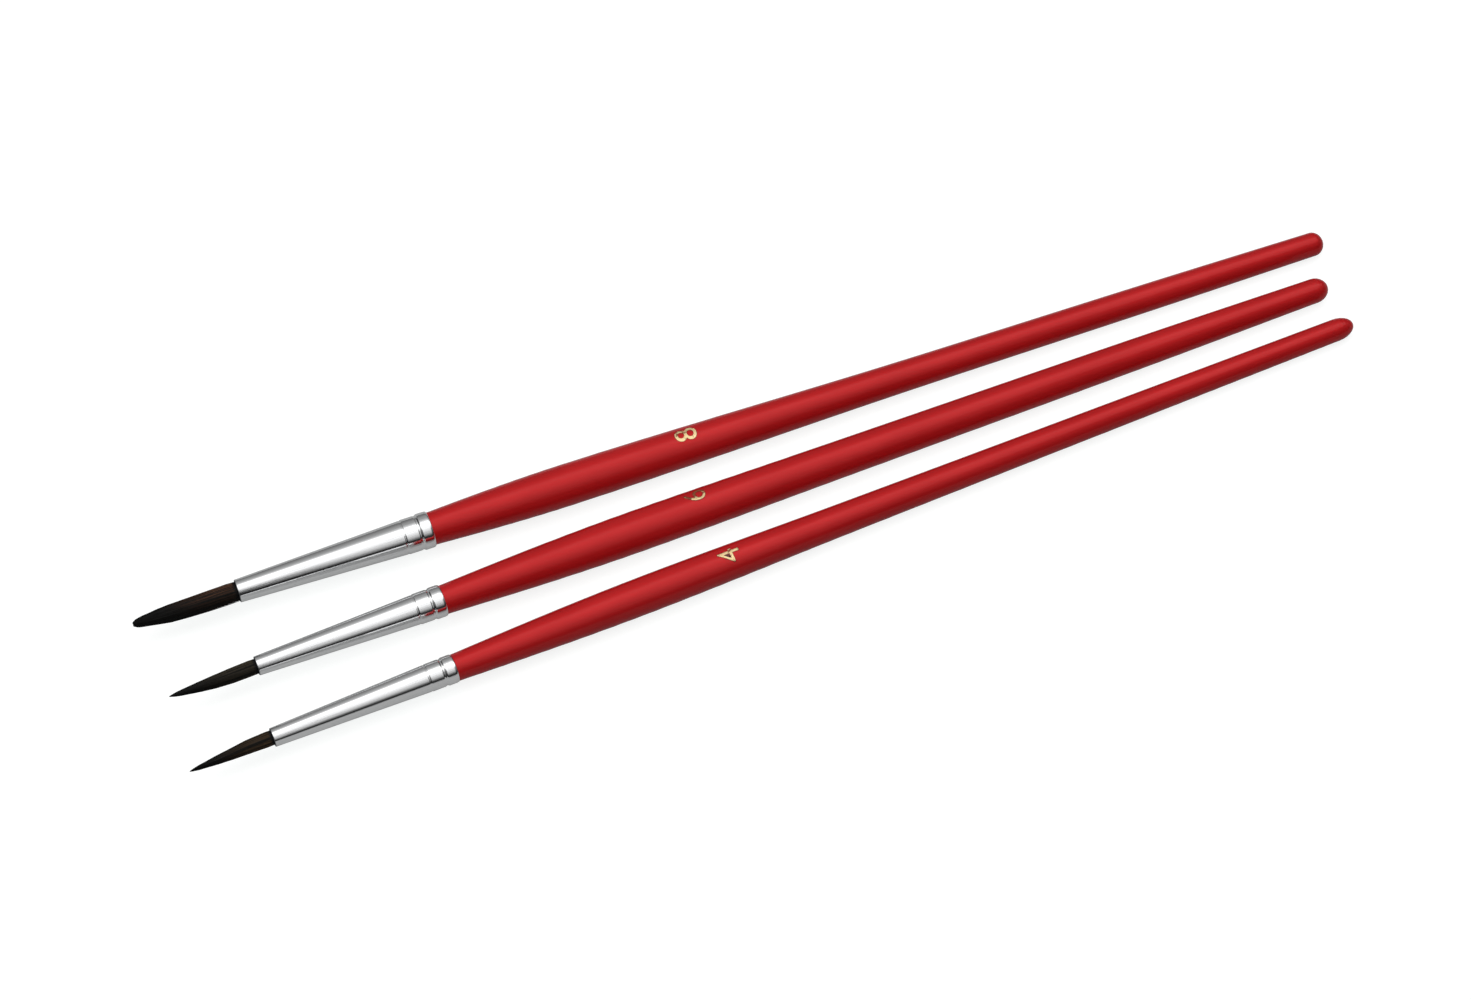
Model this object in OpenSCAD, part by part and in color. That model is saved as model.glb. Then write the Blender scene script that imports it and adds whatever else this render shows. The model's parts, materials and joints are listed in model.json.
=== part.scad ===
// Set of three round detail brushes, Nos. 8, 6 and 4, laid side by side on a table.
// Each brush is a turned wooden handle, a tapered metal ferrule rolled on to the handle's
// tenon, and a pointed hair tuft that is tied with thread and glued into the ferrule.
// Millimetres, +Z up. Tufts point to -X. The origin is under the middle of the set.

/* [Brush No. 8] */
// Overall length, from the tip of the hair to the butt of the handle
length_8 = 195; // [188:0.5:204]
// Length of hair that stands out of the ferrule
hair_out_8 = 16; // [12:0.1:20]
// Shape of the hair point: small is blunt and full, 1 is a slim needle
hair_point_8 = 0.36; // [0.3:0.01:1]
// How far the tuft swells past its plain taper, halfway out
hair_swell_8 = 0.1; // [0:0.01:0.2]
// Length of the ferrule
ferrule_len_8 = 30.2; // [27:0.1:34]
// Outside diameter of the ferrule at its mouth
mouth_d_8 = 3.53; // [3:0.01:3.9]
// Outside diameter of the ferrule's cone at the front roll
cone_d_8 = 5.26; // [4.8:0.01:5.3]
// Outside diameter of the straight land between the rolls
land_d_8 = 5.38; // [5.3:0.01:5.5]
// Outside diameter of the band behind the rear roll
band_d_8 = 5.63; // [5.5:0.01:5.8]
// Diameter of the handle where it comes out of the ferrule
neck_d_8 = 5.07; // [4.8:0.01:5.3]
// Largest diameter of the handle
belly_d_8 = 6.41; // [5.7:0.01:7.5]
// Distance of the belly behind the ferrule
belly_at_8 = 21.5; // [18:0.1:36]
// Diameter of the handle at its waist
waist_d_8 = 4.81; // [4.55:0.01:5.5]
// Distance of the waist behind the ferrule
waist_at_8 = 79; // [60:0.5:92]
// Diameter of the handle's tail
tail_d_8 = 4.37; // [4:0.01:4.5]
// Distance of the tail behind the ferrule
tail_at_8 = 119; // [105:0.5:128]
// Diameter of the handle just ahead of the rounded butt
butt_d_8 = 3.8; // [3.3:0.01:3.95]
// Length of the rounded butt
butt_round_8 = 1.7; // [1:0.1:3.5]

/* [Brush No. 6] */
// Overall length, from the tip of the hair to the butt of the handle
length_6 = 190; // [184:0.5:200]
// Length of hair that stands out of the ferrule
hair_out_6 = 13.3; // [10:0.1:17]
// Shape of the hair point: small is blunt and full, 1 is a slim needle
hair_point_6 = 0.74; // [0.3:0.01:1]
// How far the tuft swells past its plain taper, halfway out
hair_swell_6 = 0.06; // [0:0.01:0.2]
// Length of the ferrule
ferrule_len_6 = 29; // [27:0.1:33]
// Outside diameter of the ferrule at its mouth
mouth_d_6 = 2.93; // [2.5:0.01:3.2]
// Outside diameter of the ferrule's cone at the front roll
cone_d_6 = 4.58; // [4.2:0.01:4.64]
// Outside diameter of the straight land between the rolls
land_d_6 = 4.73; // [4.64:0.01:4.8]
// Outside diameter of the band behind the rear roll
band_d_6 = 4.9; // [4.8:0.01:5]
// Diameter of the handle where it comes out of the ferrule
neck_d_6 = 4.44; // [4.3:0.01:4.7]
// Largest diameter of the handle
belly_d_6 = 6.3; // [5.9:0.01:7.2]
// Distance of the belly behind the ferrule
belly_at_6 = 31; // [22:0.1:42]
// Diameter of the handle at its waist
waist_d_6 = 5.69; // [5.05:0.01:5.85]
// Distance of the waist behind the ferrule
waist_at_6 = 65; // [55:0.5:85]
// Diameter of the handle's tail
tail_d_6 = 4.89; // [4.2:0.01:5]
// Distance of the tail behind the ferrule
tail_at_6 = 114; // [100:0.5:125]
// Diameter of the handle just ahead of the rounded butt
butt_d_6 = 3.92; // [3.3:0.01:4.1]
// Length of the rounded butt
butt_round_6 = 2.3; // [1:0.1:3.5]

/* [Brush No. 4] */
// Overall length, from the tip of the hair to the butt of the handle
length_4 = 191.5; // [184:0.5:200]
// Length of hair that stands out of the ferrule
hair_out_4 = 12.7; // [10:0.1:17]
// Shape of the hair point: small is blunt and full, 1 is a slim needle
hair_point_4 = 0.85; // [0.3:0.01:1]
// How far the tuft swells past its plain taper, halfway out
hair_swell_4 = 0.02; // [0:0.01:0.2]
// Length of the ferrule
ferrule_len_4 = 28.3; // [26:0.1:32]
// Outside diameter of the ferrule at its mouth
mouth_d_4 = 2.86; // [2.5:0.01:3.1]
// Outside diameter of the ferrule's cone at the front roll
cone_d_4 = 4.16; // [3.8:0.01:4.2]
// Outside diameter of the straight land between the rolls
land_d_4 = 4.24; // [4.2:0.01:4.32]
// Outside diameter of the band behind the rear roll
band_d_4 = 4.35; // [4.32:0.01:4.45]
// Diameter of the handle where it comes out of the ferrule
neck_d_4 = 4.1; // [3.8:0.01:4.25]
// Largest diameter of the handle
belly_d_4 = 5.61; // [5.1:0.01:6.6]
// Distance of the belly behind the ferrule
belly_at_4 = 31; // [20:0.1:40]
// Diameter of the handle at its waist
waist_d_4 = 4.82; // [4.35:0.01:5.05]
// Distance of the waist behind the ferrule
waist_at_4 = 63; // [55:0.5:85]
// Diameter of the handle's tail
tail_d_4 = 3.93; // [3.65:0.01:4.15]
// Distance of the tail behind the ferrule
tail_at_4 = 119; // [100:0.5:128]
// Diameter of the handle just ahead of the rounded butt
butt_d_4 = 3.52; // [3.1:0.01:3.6]
// Length of the rounded butt
butt_round_4 = 3; // [1:0.1:3.5]

/* [Ferrule sheet and rolls] */
// Thickness of the ferrule's metal
wall = 0.28; // [0.22:0.01:0.3]
// Length of the straight part of the band behind the rear roll
band_len = 1.05; // [0.8:0.05:1.2]
// Length over which the rim behind the band turns in towards the wood
rim_turn_len = 0.5; // [0.3:0.05:0.7]
// How far the rim turns in
rim_turn_drop = 0.17; // [0.05:0.01:0.2]
// Width of the rear roll
rear_roll_w = 0.7; // [0.5:0.01:0.8]
// Depth of the rear roll
rear_roll_depth = 0.13; // [0.08:0.01:0.16]
// Length of the straight land between the two rolls
roll_land = 1.8; // [1.2:0.05:2.4]
// Width of the front roll
front_roll_w = 0.45; // [0.35:0.01:0.6]
// Depth of the front roll
front_roll_depth = 0.06; // [0.04:0.01:0.1]

/* [Hair root, thread and glue] */
// Length of hair that wedges in the mouth of the ferrule
wedge_len = 6; // [5:0.1:7]
// How far the thread pulls the hair in
tie_squeeze = 0.45; // [0.4:0.01:0.55]
// Length over which the hair runs in to the thread
tie_run_in = 1; // [0.6:0.1:1.2]
// Diameter of the thread
thread_d = 0.26; // [0.2:0.01:0.3]
// Turns of thread
thread_turns = 5; // [3:1:7]
// Length of hair behind the thread
root_tail = 1.4; // [1:0.1:2]
// Depth of glue behind the hair's cut ends
glue_cover = 2; // [1.5:0.1:2.5]
// Depth of the hollow in the back of the glue
glue_hollow = 0.35; // [0.2:0.01:0.5]
// Air left between the glue and the handle's tenon
air_gap = 1.5; // [0.5:0.1:2]

/* [Handle details] */
// How much steeper the handle leaves the ferrule than its average rise to the belly
neck_flare = 1.6; // [1:0.05:2]
// Chamfer at the front of the tenon
tenon_chamfer = 0.4; // [0.2:0.05:0.6]

/* [Fits] */
// Clearance between the ferrule and the wood, and at the handle's shoulder
seat_gap = 0.02; // [0.01:0.01:0.05]
// Clearance round the hair, the thread and the glue
glue_gap = 0.02; // [0.01:0.01:0.05]

/* [Layout on the table] */
// Distance from the hair tip of No. 6 back to that of No. 8, along the set
tip_back_8 = -1.2; // [-10:0.1:10]
// Distance from the hair tip of No. 6 across to that of No. 8
tip_across_8 = 13.9; // [11:0.1:25]
// Turn of No. 8 on the table, in degrees, towards No. 6 at its butt
turn_8 = 1.6; // [-1:0.1:1.8]
// Distance from the hair tip of No. 6 back to that of No. 4, along the set
tip_back_4 = -1.1; // [-10:0.1:10]
// Distance from the hair tip of No. 6 across to that of No. 4
tip_across_4 = 12.5; // [10.5:0.1:25]
// Turn of No. 4 on the table, in degrees, towards No. 6 at its butt
turn_4 = 1.4; // [-1:0.1:1.6]

/* [Hidden] */
$fn = 96;

// Places of the three brushes in every list below
NO8 = 0;
NO6 = 1;
NO4 = 2;
BRUSHES = [NO8, NO6, NO4];

length = [length_8, length_6, length_4];
hair_out = [hair_out_8, hair_out_6, hair_out_4];
hair_point = [hair_point_8, hair_point_6, hair_point_4];
hair_swell = [hair_swell_8, hair_swell_6, hair_swell_4];
ferrule_len = [ferrule_len_8, ferrule_len_6, ferrule_len_4];
mouth_r = [mouth_d_8, mouth_d_6, mouth_d_4] / 2;
cone_r = [cone_d_8, cone_d_6, cone_d_4] / 2;
land_r = [land_d_8, land_d_6, land_d_4] / 2;
band_r = [band_d_8, band_d_6, band_d_4] / 2;
tip_back = [tip_back_8, 0, tip_back_4];
tip_side = [tip_across_8, 0, -tip_across_4];
turn = [-turn_8, 0, turn_4];

// Handle outline behind the ferrule: [distance behind the ferrule, diameter]
handle_marks = [
    [[0, neck_d_8], [belly_at_8, belly_d_8], [waist_at_8, waist_d_8], [tail_at_8, tail_d_8],
     [length_8 - hair_out_8 - ferrule_len_8 - butt_round_8, butt_d_8]],
    [[0, neck_d_6], [belly_at_6, belly_d_6], [waist_at_6, waist_d_6], [tail_at_6, tail_d_6],
     [length_6 - hair_out_6 - ferrule_len_6 - butt_round_6, butt_d_6]],
    [[0, neck_d_4], [belly_at_4, belly_d_4], [waist_at_4, waist_d_4], [tail_at_4, tail_d_4],
     [length_4 - hair_out_4 - ferrule_len_4 - butt_round_4, butt_d_4]]
];
butt_round = [butt_round_8, butt_round_6, butt_round_4];

// Steps along the curves
roll_steps = 8;      // in one roll
span_steps = 9;      // between two marks of the handle
round_steps = 7;     // in a rounded end
tip_steps = 16;      // along the hair that stands out

// Places along the ferrule, measured from its mouth
function rim_x(b) = ferrule_len[b];
function band_x(b) = rim_x(b) - rim_turn_len - band_len;
function rear_roll_x(b) = band_x(b) - rear_roll_w / 2;
function front_roll_x(b) = rear_roll_x(b) - rear_roll_w / 2 - roll_land - front_roll_w / 2;
function cone_end_x(b) = front_roll_x(b) - front_roll_w / 2;

// Places of the hair root, glue and tenon, measured from the ferrule's mouth
tie_x = wedge_len + tie_run_in;
tie_len = thread_turns * thread_d;
root_end_x = tie_x + tie_len + root_tail;
glue_end_x = root_end_x + glue_cover;
tenon_x = glue_end_x + air_gap;

// Outside radius of the ferrule's plain cone
function cone_at(b, x) = mouth_r[b] + (cone_r[b] - mouth_r[b]) * x / cone_end_x(b);
// Inside radius of the ferrule's plain cone
function bore_at(b, x) = cone_at(b, x) - wall;

// A roll presses the metal in by a cosine wave, from radius r0 in front to r1 behind
function roll(x, w, depth, r0, r1) = [
    for (k = [0:roll_steps])
        let (t = k / roll_steps)
        [r0 + (r1 - r0) * t - depth * (1 - cos(360 * t)) / 2, x - w / 2 + w * t]
];

// A quarter round from [r, x] towards the rear: radius falls by drop over a length of run
function quarter(r, x, drop, run) = [
    for (k = [1:round_steps])
        let (a = 90 * k / round_steps)
        [r - drop * (1 - cos(a)), x + run * sin(a)]
];

// The ferrule's skin from from_x to the rim, as [radius, x], moved in by inset.
// The same skin draws the outside, the inside and the tenon that seats in it.
function skin(b, inset, from_x) = concat(
    [[cone_at(b, from_x) - inset, from_x]],
    roll(front_roll_x(b), front_roll_w, front_roll_depth, cone_r[b] - inset, land_r[b] - inset),
    roll(rear_roll_x(b), rear_roll_w, rear_roll_depth, land_r[b] - inset, band_r[b] - inset),
    [[band_r[b] - inset, band_x(b) + band_len]],
    quarter(band_r[b] - inset, band_x(b) + band_len, rim_turn_drop, rim_turn_len)
);

function reversed(list) = [for (k = [len(list) - 1:-1:0]) list[k]];

// Smooth rise and fall through the handle's marks: flat at the belly, no overshoot elsewhere
function secant(m, k) = (m[k + 1].y - m[k].y) / (m[k + 1].x - m[k].x);
function slope(m, k) =
    k == 0 ? neck_flare * secant(m, 0) :
    k == 1 ? 0 :
    k == len(m) - 1 ? secant(m, k - 1) :
    2 * secant(m, k - 1) * secant(m, k) / (secant(m, k - 1) + secant(m, k));
function between(m, k, t) =
    let (h = m[k + 1].x - m[k].x)
    (2 * pow(t, 3) - 3 * pow(t, 2) + 1) * m[k].y
    + (pow(t, 3) - 2 * pow(t, 2) + t) * h * slope(m, k)
    + (3 * pow(t, 2) - 2 * pow(t, 3)) * m[k + 1].y
    + (pow(t, 3) - pow(t, 2)) * h * slope(m, k + 1);
function grip(b) =
    let (m = handle_marks[b], last = len(m) - 1)
    concat(
        [for (k = [0:last - 1], s = [0:span_steps - 1])
            let (t = s / span_steps)
            [between(m, k, t) / 2, rim_x(b) + seat_gap + m[k].x + (m[k + 1].x - m[k].x) * t]],
        [[m[last].y / 2, rim_x(b) + m[last].x]],
        quarter(m[last].y / 2, rim_x(b) + m[last].x, m[last].y / 2, butt_round[b])
    );

// Turns an outline of [radius, x] about the brush's own axis, which lies along +X
module turned(outline) {
    rotate([0, 90, 0])
        rotate_extrude()
            polygon(outline);
}

// Handle: bare tenon with the two rolls pressed into it, then the lacquered grip
module handle(b) {
    tenon_r = bore_at(b, tenon_x) - seat_gap;
    tenon = concat(
        [[0, tenon_x], [tenon_r - tenon_chamfer, tenon_x]],
        skin(b, wall + seat_gap, tenon_x + tenon_chamfer),
        [[band_r[b] - rim_turn_drop - wall - seat_gap, rim_x(b) + seat_gap]]
    );
    color("firebrick")
        turned(concat(tenon, grip(b)));
}

// Ferrule: drawn cone of even sheet, the straight land between its two rolls, the band and
// its turned-in rim
module ferrule(b) {
    edge = wall / 2;
    mouth_edge = [
        for (k = [1:round_steps - 1])
            let (a = 180 * k / round_steps)
            [cone_at(b, edge) - edge - edge * cos(a), edge - edge * sin(a)]
    ];
    color("silver")
        turned(concat(mouth_edge, skin(b, 0, edge), reversed(skin(b, wall, edge))));
}

// Hair: the point outside, then the root that wedges in the mouth and is tied behind
function hair_r(b, x) = bore_at(b, x) - glue_gap;
function tie_r(b) = hair_r(b, wedge_len) - tie_squeeze;
module hair_tuft(b) {
    edge = wall / 2;
    point = [
        for (k = [0:tip_steps])
            let (u = pow(k / tip_steps, 2), swell = 4 * hair_swell[b] * u * (1 - u))
            [hair_r(b, 0) * pow(1 - pow(1 - u, 2), hair_point[b]) + swell, -hair_out[b] * (1 - u)]
    ];
    root = [
        [hair_r(b, edge), edge],
        [hair_r(b, wedge_len), wedge_len],
        [tie_r(b), tie_x],
        [tie_r(b), tie_x + tie_len],
        [tie_r(b) + thread_d / 2, root_end_x],
        [0, root_end_x]
    ];
    color("#2b1a12")
        turned(concat(point, root));
}

// Thread: turns laid side by side round the waist of the hair
module thread_tie(b) {
    inner = tie_r(b) + glue_gap;
    turns = [
        for (n = [0:thread_turns - 1], k = [0:round_steps])
            let (a = 180 * k / round_steps)
            [inner + thread_d / 2 * (1 + sin(a)), tie_x + thread_d * (n + (1 - cos(a)) / 2)]
    ];
    color("wheat")
        turned(concat([[inner, tie_x]], turns, [[inner, tie_x + tie_len]]));
}

// Glue: fills the ferrule round the thread and behind the hair's cut ends
module glue_plug(b) {
    pocket_r = tie_r(b) + thread_d + 2 * glue_gap;
    hollow = [
        for (k = [0:round_steps])
            let (t = 1 - k / round_steps)
            [(bore_at(b, glue_end_x) - glue_gap) * t, glue_end_x - glue_hollow * (1 - t * t)]
    ];
    color("goldenrod")
        turned(concat(
            [
                [0, root_end_x + glue_gap],
                [pocket_r, root_end_x + glue_gap],
                [pocket_r, tie_x],
                [bore_at(b, tie_x) - glue_gap, tie_x]
            ],
            hollow
        ));
}

// A brush at rest touches the table under its belly and near its butt. Leant by an angle,
// it rests at the height of its lowest ring, and it settles where its balance point is lowest.
function rest_height(b, lean) =
    max([for (p = grip(b)) p[0] * cos(lean) + (p[1] - balance_x(b)) * sin(lean)]);
function balance_x(b) = length[b] / 2 - hair_out[b];
lean_step = 0.005;
lean_most = 1.5;
leans = [for (a = [0:lean_step:lean_most]) a];
function settled(b) =
    let (heights = [for (a = leans) rest_height(b, a)])
    leans[search(min(heights), heights)[0]];
lean = [for (b = BRUSHES) settled(b)];

// Reach of a brush along a direction of the table, from its rings: [least, most]
function axis_dir(b) = [cos(turn[b]) * cos(lean[b]), sin(turn[b]) * cos(lean[b]), -sin(lean[b])];
function axis_foot(b) = [
    tip_back[b] + length[b] / 2 * cos(turn[b]),
    tip_side[b] + length[b] / 2 * sin(turn[b]),
    rest_height(b, lean[b])
];
function reach(b, dir) =
    let (
        d = axis_dir(b) * dir,
        side = sqrt(1 - d * d),
        base = axis_foot(b) * dir,
        rings = concat([[0, -hair_out[b]], [mouth_r[b], 0], [band_r[b], rim_x(b)]], grip(b))
    )
    [
        min([for (p = rings) base + (p[1] - balance_x(b)) * d - p[0] * side]),
        max([for (p = rings) base + (p[1] - balance_x(b)) * d + p[0] * side])
    ];
function middle(dir) =
    (min([for (b = BRUSHES) reach(b, dir)[0]]) + max([for (b = BRUSHES) reach(b, dir)[1]])) / 2;
set_middle = [middle([1, 0, 0]), middle([0, 1, 0]), 0];

// Lays a brush, drawn along +X from its ferrule's mouth, in its place on the table
module laid(b) {
    translate(axis_foot(b) - set_middle)
        rotate([0, lean[b], turn[b]])
            translate([-balance_x(b), 0, 0])
                children();
}

module handle_8() { laid(NO8) handle(NO8); }
module ferrule_8() { laid(NO8) ferrule(NO8); }
module hair_tuft_8() { laid(NO8) hair_tuft(NO8); }
module thread_tie_8() { laid(NO8) thread_tie(NO8); }
module glue_plug_8() { laid(NO8) glue_plug(NO8); }

module handle_6() { laid(NO6) handle(NO6); }
module ferrule_6() { laid(NO6) ferrule(NO6); }
module hair_tuft_6() { laid(NO6) hair_tuft(NO6); }
module thread_tie_6() { laid(NO6) thread_tie(NO6); }
module glue_plug_6() { laid(NO6) glue_plug(NO6); }

module handle_4() { laid(NO4) handle(NO4); }
module ferrule_4() { laid(NO4) ferrule(NO4); }
module hair_tuft_4() { laid(NO4) hair_tuft(NO4); }
module thread_tie_4() { laid(NO4) thread_tie(NO4); }
module glue_plug_4() { laid(NO4) glue_plug(NO4); }

handle_8();
ferrule_8();
hair_tuft_8();
thread_tie_8();
glue_plug_8();
handle_6();
ferrule_6();
hair_tuft_6();
thread_tie_6();
glue_plug_6();
handle_4();
ferrule_4();
hair_tuft_4();
thread_tie_4();
glue_plug_4();
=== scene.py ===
# %% [markdown]
# # Three fine detail brushes
# Each brush is a turned and lacquered wooden handle, a seamless aluminium
# ferrule rolled on to it, and a tuft of dark hair tied and glued inside.
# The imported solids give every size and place, in metres, so this lesson
# starts by loading them and keeping the box they fill.

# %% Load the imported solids
import json
import math

import bpy
import numpy as np
from mathutils import Matrix, Quaternion, Vector


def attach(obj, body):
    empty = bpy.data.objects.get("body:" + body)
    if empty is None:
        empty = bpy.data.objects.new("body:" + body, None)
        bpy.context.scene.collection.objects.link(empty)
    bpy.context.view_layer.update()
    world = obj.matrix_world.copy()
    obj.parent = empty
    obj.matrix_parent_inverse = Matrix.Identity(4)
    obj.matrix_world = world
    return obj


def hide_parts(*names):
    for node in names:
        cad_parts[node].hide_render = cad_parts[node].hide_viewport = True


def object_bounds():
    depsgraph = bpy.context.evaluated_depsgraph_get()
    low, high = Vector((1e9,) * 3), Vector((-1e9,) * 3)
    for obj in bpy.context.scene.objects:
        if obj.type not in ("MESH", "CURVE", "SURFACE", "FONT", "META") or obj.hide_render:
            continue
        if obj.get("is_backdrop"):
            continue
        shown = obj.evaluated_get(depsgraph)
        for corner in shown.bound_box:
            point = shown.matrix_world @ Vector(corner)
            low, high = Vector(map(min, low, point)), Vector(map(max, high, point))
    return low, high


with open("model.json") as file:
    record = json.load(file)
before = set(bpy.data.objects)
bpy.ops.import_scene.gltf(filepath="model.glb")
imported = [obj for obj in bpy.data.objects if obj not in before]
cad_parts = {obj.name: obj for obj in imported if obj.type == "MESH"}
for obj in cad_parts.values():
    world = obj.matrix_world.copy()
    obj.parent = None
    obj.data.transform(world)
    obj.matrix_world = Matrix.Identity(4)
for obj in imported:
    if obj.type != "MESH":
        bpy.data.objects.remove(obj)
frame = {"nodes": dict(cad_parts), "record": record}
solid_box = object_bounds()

scene = bpy.context.scene
sizes = (8, 6, 4)
nodes = frame["nodes"]
mm = 0.001
print("solids:", ", ".join(sorted(nodes)))

# %% [markdown]
# A brush lies on the table at its own lean, so nothing on it is square to
# the world. The smooth band of each ferrule is recorded with its centre and
# its direction, and that is the brush's centre line. Each piece below is
# made lying along X, with x = 0 at the band and the butt on the plus side,
# and is then put on this line.

# %% The centre line of each brush
line = {}
for mount in frame["record"]["mounts"]:
    size = int(mount["name"].split("_")[-1])
    along = -Vector(mount["axis"]).normalized()
    across = Vector((0, 0, 1)).cross(along).normalized()
    turn = Matrix((along, across, along.cross(across))).transposed().to_4x4()
    line[size] = Matrix.Translation(Vector(mount["pos_m"])) @ turn


def reach(node, size):
    """Lowest and highest x of a solid on its brush's own line."""
    back = line[size].inverted()
    xs = [(back @ v.co).x for v in nodes[node].data.vertices]
    return min(xs), max(xs)


for size in sizes:
    tip = reach(f"hair_tuft_{size}", size)[0]
    mouth, rim = reach(f"ferrule_{size}", size)
    butt = reach(f"handle_{size}", size)[1]
    print(f"no. {size}: hair from {tip / mm:.1f}, mouth {mouth / mm:.1f}, "
          f"rim {rim / mm:.1f}, butt {butt / mm:.1f} mm")

# %% [markdown]
# The brushes are looked at from the front left and well above, with a long
# lens, so they run across the picture with hardly any narrowing. The lens
# is tipped by two degrees about its own line, as a hand-set tripod would be.

# %% Camera
view_turn, view_height = math.radians(-21.362), math.radians(55.85)
camera_place = (-0.113143, -0.27217, 0.431514)
camera_tilt = math.radians(-1.889)
focal_length = 84.13  # millimetres
camera_data = bpy.data.cameras.new("camera")
camera_data.lens = focal_length
camera = bpy.data.objects.new("camera", camera_data)
scene.collection.objects.link(camera)
camera.location = camera_place
to_camera = Vector((math.sin(view_turn) * math.cos(view_height),
                    -math.cos(view_turn) * math.cos(view_height),
                    math.sin(view_height)))
aim = (-to_camera).to_track_quat("-Z", "Y")
camera.rotation_euler = (aim @ Quaternion((0, 0, 1), camera_tilt)).to_euler()
scene.camera = camera
scene.view_settings.view_transform = "Standard"
print("camera height:", round(camera.location.z / mm), "mm")

# %% [markdown]
# Materials are small node trees. These helpers add a node with its settings
# and wire it up, so a material below reads as a list of what it is made of.

# %% Helpers for materials


def start_material(name):
    """A material with an empty tree."""
    material = bpy.data.materials.new(name)
    material.use_nodes = True
    material.node_tree.nodes.clear()
    return material, material.node_tree


def add(tree, kind, inputs=None, **settings):
    """Adds a node, sets it up and fills its inputs with values or links."""
    node = tree.nodes.new(kind)
    for key, value in settings.items():
        setattr(node, key, value)
    for key, value in (inputs or {}).items():
        if isinstance(value, bpy.types.NodeSocket):
            tree.links.new(value, node.inputs[key])
        else:
            node.inputs[key].default_value = value
    return node


def grey(value):
    """An even grey with full alpha."""
    return value, value, value, 1


def maths(tree, operation, *values):
    """One step of arithmetic on sockets and numbers."""
    return add(tree, "ShaderNodeMath", dict(enumerate(values)),
               operation=operation).outputs[0]


def spread(tree, value, low, high, to_low, to_high):
    """Moves a value softly from one range to another."""
    return add(tree, "ShaderNodeMapRange", {
        "Value": value, "From Min": low, "From Max": high,
        "To Min": to_low, "To Max": to_high},
        interpolation_type="SMOOTHSTEP").outputs[0]


def ramp(tree, factor, *stops):
    """A colour ramp of (place, colour) stops."""
    node = add(tree, "ShaderNodeValToRGB", {"Fac": factor})
    while len(node.color_ramp.elements) < len(stops):
        node.color_ramp.elements.new(0.5)
    for element, (at, colour) in zip(node.color_ramp.elements, stops):
        element.position = at
        element.color = colour if len(colour) == 4 else (*colour, 1)
    return node.outputs["Color"]


def blend(tree, factor, first, second):
    """Mixes two colours, or links to them."""
    first, second = (c if isinstance(c, bpy.types.NodeSocket) or len(c) == 4
                     else (*c, 1) for c in (first, second))
    return add(tree, "ShaderNodeMix", {0: factor, 6: first, 7: second},
               data_type="RGBA").outputs[2]


def noise(tree, place, stretch, detail=3, roughness=0.5):
    """Noise with its own scale per metre along x, y and z."""
    scaled = add(tree, "ShaderNodeVectorMath", {0: place, 1: stretch},
                 operation="MULTIPLY").outputs[0]
    return add(tree, "ShaderNodeTexNoise", {
        "Vector": scaled, "Scale": 1, "Detail": detail,
        "Roughness": roughness}).outputs["Fac"]


def relief(tree, height, depth, strength=1.0):
    """Turns a height into a bump, with its depth in metres."""
    return add(tree, "ShaderNodeBump", {
        "Height": height, "Distance": depth, "Strength": strength,
    }).outputs["Normal"]


def brush_place(tree, size):
    """A point's place on its own brush: x along it from the band."""
    back = line[size].inverted()
    place = add(tree, "ShaderNodeTexCoord").outputs["Object"]
    return add(tree, "ShaderNodeMapping", {
        "Vector": place, "Location": back.translation,
        "Rotation": back.to_euler("XYZ")}, vector_type="POINT").outputs[0]


def surface(tree, inputs):
    """The shader that ends a tree."""
    shader = add(tree, "ShaderNodeBsdfPrincipled", inputs)
    add(tree, "ShaderNodeOutputMaterial", {"Surface": shader.outputs[0]})
    return shader


# %% [markdown]
# Pieces are modelled in edit mode, and every edit starts with the whole
# mesh selected.

# %% In and out of edit mode


def enter_edit():
    """Opens the active mesh with all of it selected."""
    bpy.ops.object.mode_set(mode="EDIT")
    bpy.ops.mesh.select_all(action="SELECT")


def leave_edit():
    """Closes it again."""
    bpy.ops.object.mode_set(mode="OBJECT")


# %% [markdown]
# The brushes lie on white paper under a light tent. To the lens and to
# metal the paper has a white of its own on top of a pale grey that takes the
# brushes' soft shadows. To plain light it is a darker grey, so it does not
# light the undersides.

# %% Paper
paper_width = 6
paper_fade = (0.1, 0.4)  # metres from the middle, where its white grows
paper_to_lens = (0.84, 0.93)  # its own white before and after that
paper_to_glass, paper_to_metal = 0.8, 0.2
paper_seen = 0.32  # the grey that takes the shadows
bpy.ops.mesh.primitive_plane_add(size=paper_width)
paper = bpy.context.object
paper.name = "paper"
material, tree = start_material("white_paper")
ray = add(tree, "ShaderNodeLightPath").outputs
place = add(tree, "ShaderNodeTexCoord").outputs["Object"]
distance = add(tree, "ShaderNodeVectorMath", {0: place},
               operation="LENGTH").outputs["Value"]
lens_white = maths(tree, "MULTIPLY", ray["Is Camera Ray"],
                   spread(tree, distance, *paper_fade, *paper_to_lens))
glass_white = maths(
    tree, "MULTIPLY", ray["Is Transmission Ray"], paper_to_glass)
metal_white = maths(tree, "MULTIPLY", ray["Is Glossy Ray"], paper_to_metal)
white_share = maths(tree, "MAXIMUM", lens_white,
                    maths(tree, "MAXIMUM", glass_white, metal_white))
fibres = noise(tree, place, (900, 900, 900))
own_colour = ramp(tree, fibres, (0.3, grey(0.10)), (0.7, grey(0.12)))
seen = maths(tree, "MAXIMUM", ray["Is Camera Ray"], ray["Is Glossy Ray"])
seen_colour = blend(tree, seen, own_colour, grey(paper_seen))
own = add(tree, "ShaderNodeBsdfDiffuse", {"Color": seen_colour}).outputs[0]
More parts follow.
